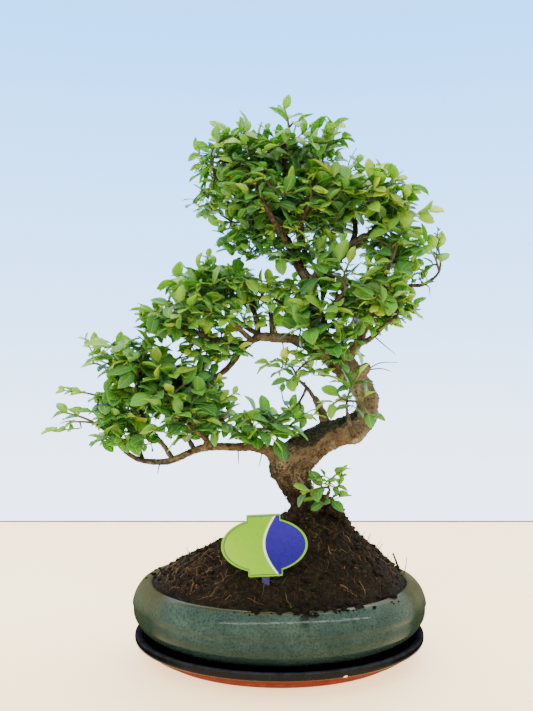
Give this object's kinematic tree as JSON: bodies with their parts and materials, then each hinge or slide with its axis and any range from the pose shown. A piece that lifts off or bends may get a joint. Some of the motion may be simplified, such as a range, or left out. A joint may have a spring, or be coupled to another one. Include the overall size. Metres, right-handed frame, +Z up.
{
  "type": "privet bonsai",
  "caption": "Leaning informal-upright privet bonsai with layered foliage, growing from a soil mound in an oval glazed pot on a matching saucer, with a blank plant label on a stake.",
  "frame": {"origin": "middle of the saucer's flat underside, where it stands on a table", "axes": "+Z up the tree, +X along the oval pot to the viewer's right, +Y away from the viewer, with the label on the -Y side"},
  "size_m": [0.3477, 0.2002, 0.4989],
  "materials": {
    "foliage": "satin",
    "bark": "matte",
    "soil": "matte",
    "celadon_glaze": "gloss",
    "dark_glaze": "gloss",
    "label_plastic": "gloss",
    "stake_plastic": "gloss",
    "screen_plastic": "matte"
  },
  "bodies": {
    "root": {"drain_screen_left": "screen_plastic", "drain_screen_right": "screen_plastic", "label_plate": "label_plastic", "label_stake": "stake_plastic", "pot": "celadon_glaze", "saucer": "dark_glaze", "soil": "soil", "spray_base": "foliage", "spray_centre_front_1": "foliage", "spray_centre_front_2": "foliage", "spray_collar": "foliage", "spray_crown_left_1": "foliage", "spray_crown_left_2": "foliage", "spray_crown_left_3": "foliage", "spray_crown_low_1": "foliage", "spray_crown_low_2": "foliage", "spray_crown_right_1": "foliage", "spray_crown_right_2": "foliage", "spray_crown_right_3": "foliage", "spray_crown_top_1": "foliage", "spray_crown_top_2": "foliage", "spray_crown_top_3": "foliage", "spray_crown_top_4": "foliage", "spray_low_collar": "foliage", "spray_low_inner_1": "foliage", "spray_low_inner_2": "foliage", "spray_low_inner_3": "foliage", "spray_low_near_1": "foliage", "spray_low_near_2": "foliage", "spray_low_tip_1": "foliage", "spray_low_tip_2": "foliage", "spray_low_tip_3": "foliage", "spray_low_top_1": "foliage", "spray_low_top_2": "foliage", "spray_low_top_3": "foliage", "spray_mid_inner_1": "foliage", "spray_mid_inner_2": "foliage", "spray_mid_low_1": "foliage", "spray_mid_low_2": "foliage", "spray_mid_outer_1": "foliage", "spray_mid_outer_2": "foliage", "spray_mid_top_1": "foliage", "spray_mid_top_2": "foliage", "spray_mid_top_3": "foliage", "spray_right_low_1": "foliage", "spray_right_low_2": "foliage", "spray_right_low_3": "foliage", "spray_right_mid_1": "foliage", "spray_right_mid_2": "foliage", "spray_right_mid_3": "foliage", "spray_right_top_1": "foliage", "spray_right_top_2": "foliage", "spray_riser": "foliage", "spray_stub": "foliage", "spray_trunk_front_1": "foliage", "spray_trunk_front_2": "foliage", "wood": "bark"}
  },
  "joints": []
}
